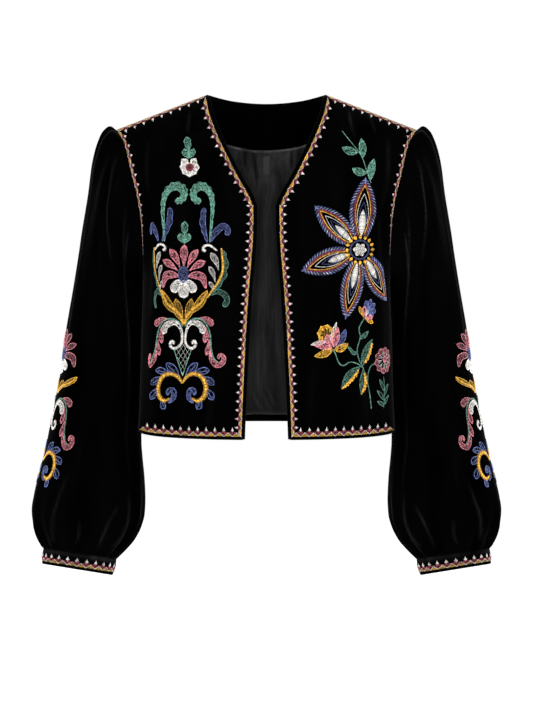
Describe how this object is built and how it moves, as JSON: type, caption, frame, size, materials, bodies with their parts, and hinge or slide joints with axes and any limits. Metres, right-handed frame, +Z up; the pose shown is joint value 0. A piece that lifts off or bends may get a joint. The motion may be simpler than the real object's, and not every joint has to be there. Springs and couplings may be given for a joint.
{
  "type": "embroidered jacket",
  "caption": "Cropped open-front velvet jacket with a V neck, gathered balloon sleeves and narrow cuffs, filled out as worn, with flower embroidery and a zigzag border.",
  "frame": {"origin": "midway between the two neck points, where the shoulder seams meet the neckline, at which the wearer's shoulders hold the jacket up", "axes": "+Z up, -Y out of the front, +X towards the wearer's left"},
  "size_m": [0.6204, 0.2212, 0.6284],
  "materials": {
    "velvet": "matte",
    "lining_satin": "satin",
    "label_tape": "matte",
    "thread_white": "satin",
    "thread_gold": "satin",
    "thread_pink": "satin",
    "thread_maroon": "satin",
    "thread_blue": "satin",
    "thread_navy": "satin",
    "thread_green": "satin"
  },
  "bodies": {
    "root": {"front_left": "velvet", "front_right": "velvet", "back": "velvet", "sleeve_left": "velvet", "sleeve_right": "velvet", "cuff_left": "velvet", "cuff_right": "velvet", "back_neck_facing": "velvet", "back_lining": "lining_satin", "label": "label_tape"}
  },
  "joints": []
}
